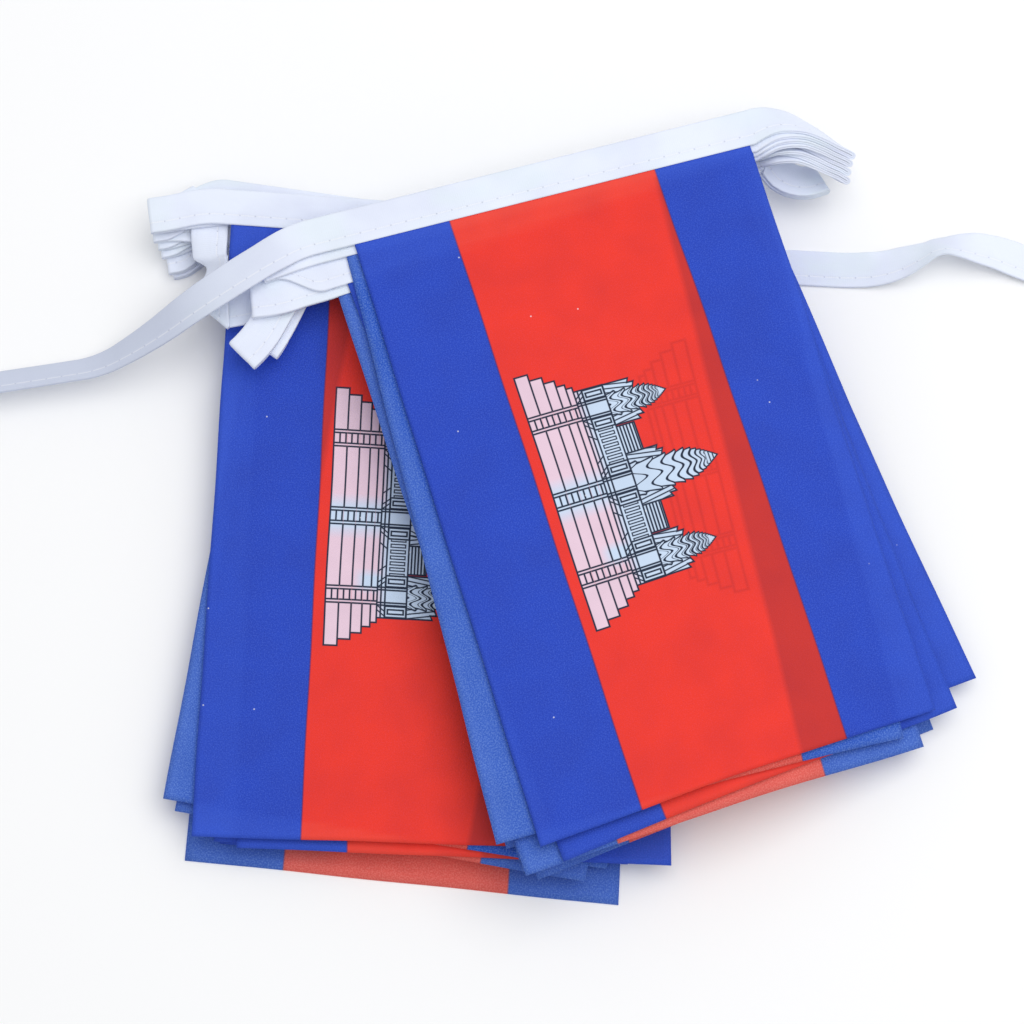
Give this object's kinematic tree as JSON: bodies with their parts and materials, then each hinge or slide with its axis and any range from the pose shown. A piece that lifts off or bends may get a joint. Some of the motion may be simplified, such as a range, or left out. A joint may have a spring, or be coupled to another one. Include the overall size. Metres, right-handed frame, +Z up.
{
  "type": "flag bunting",
  "caption": "String of small printed rectangular flags on a white sewn tape, folded flat into two fanned piles, one lying across the other, with hanging tape loops and two loose tape ends.",
  "frame": {"origin": "on the floor, under the middle of the bounding box", "axes": "+Z up, +X to the right of the picture along the two piles, +Y from the flags' feet to their heads"},
  "size_m": [0.394, 0.2696, 0.0328],
  "materials": {
    "printed_cloth": "matte print side of thin plain-woven polyester",
    "printed_cloth_reverse": "matte, paler back of thin printed polyester",
    "white_tape": "smooth white woven tape, folded lengthwise and stitched"
  },
  "bodies": {
    "root": {"flag_left_01": "printed_cloth", "flag_left_02": "printed_cloth_reverse", "flag_left_03": "printed_cloth", "flag_left_04": "printed_cloth_reverse", "flag_left_05": "printed_cloth", "flag_left_06": "printed_cloth_reverse", "flag_left_07": "printed_cloth", "flag_left_08": "printed_cloth_reverse", "flag_left_09": "printed_cloth", "flag_left_10": "printed_cloth_reverse", "flag_right_01": "printed_cloth", "flag_right_02": "printed_cloth_reverse", "flag_right_03": "printed_cloth", "flag_right_04": "printed_cloth_reverse", "flag_right_05": "printed_cloth", "flag_right_06": "printed_cloth_reverse", "flag_right_07": "printed_cloth", "flag_right_08": "printed_cloth_reverse", "flag_right_09": "printed_cloth", "flag_right_10": "printed_cloth_reverse", "binding_tape": "white_tape"}
  },
  "joints": []
}
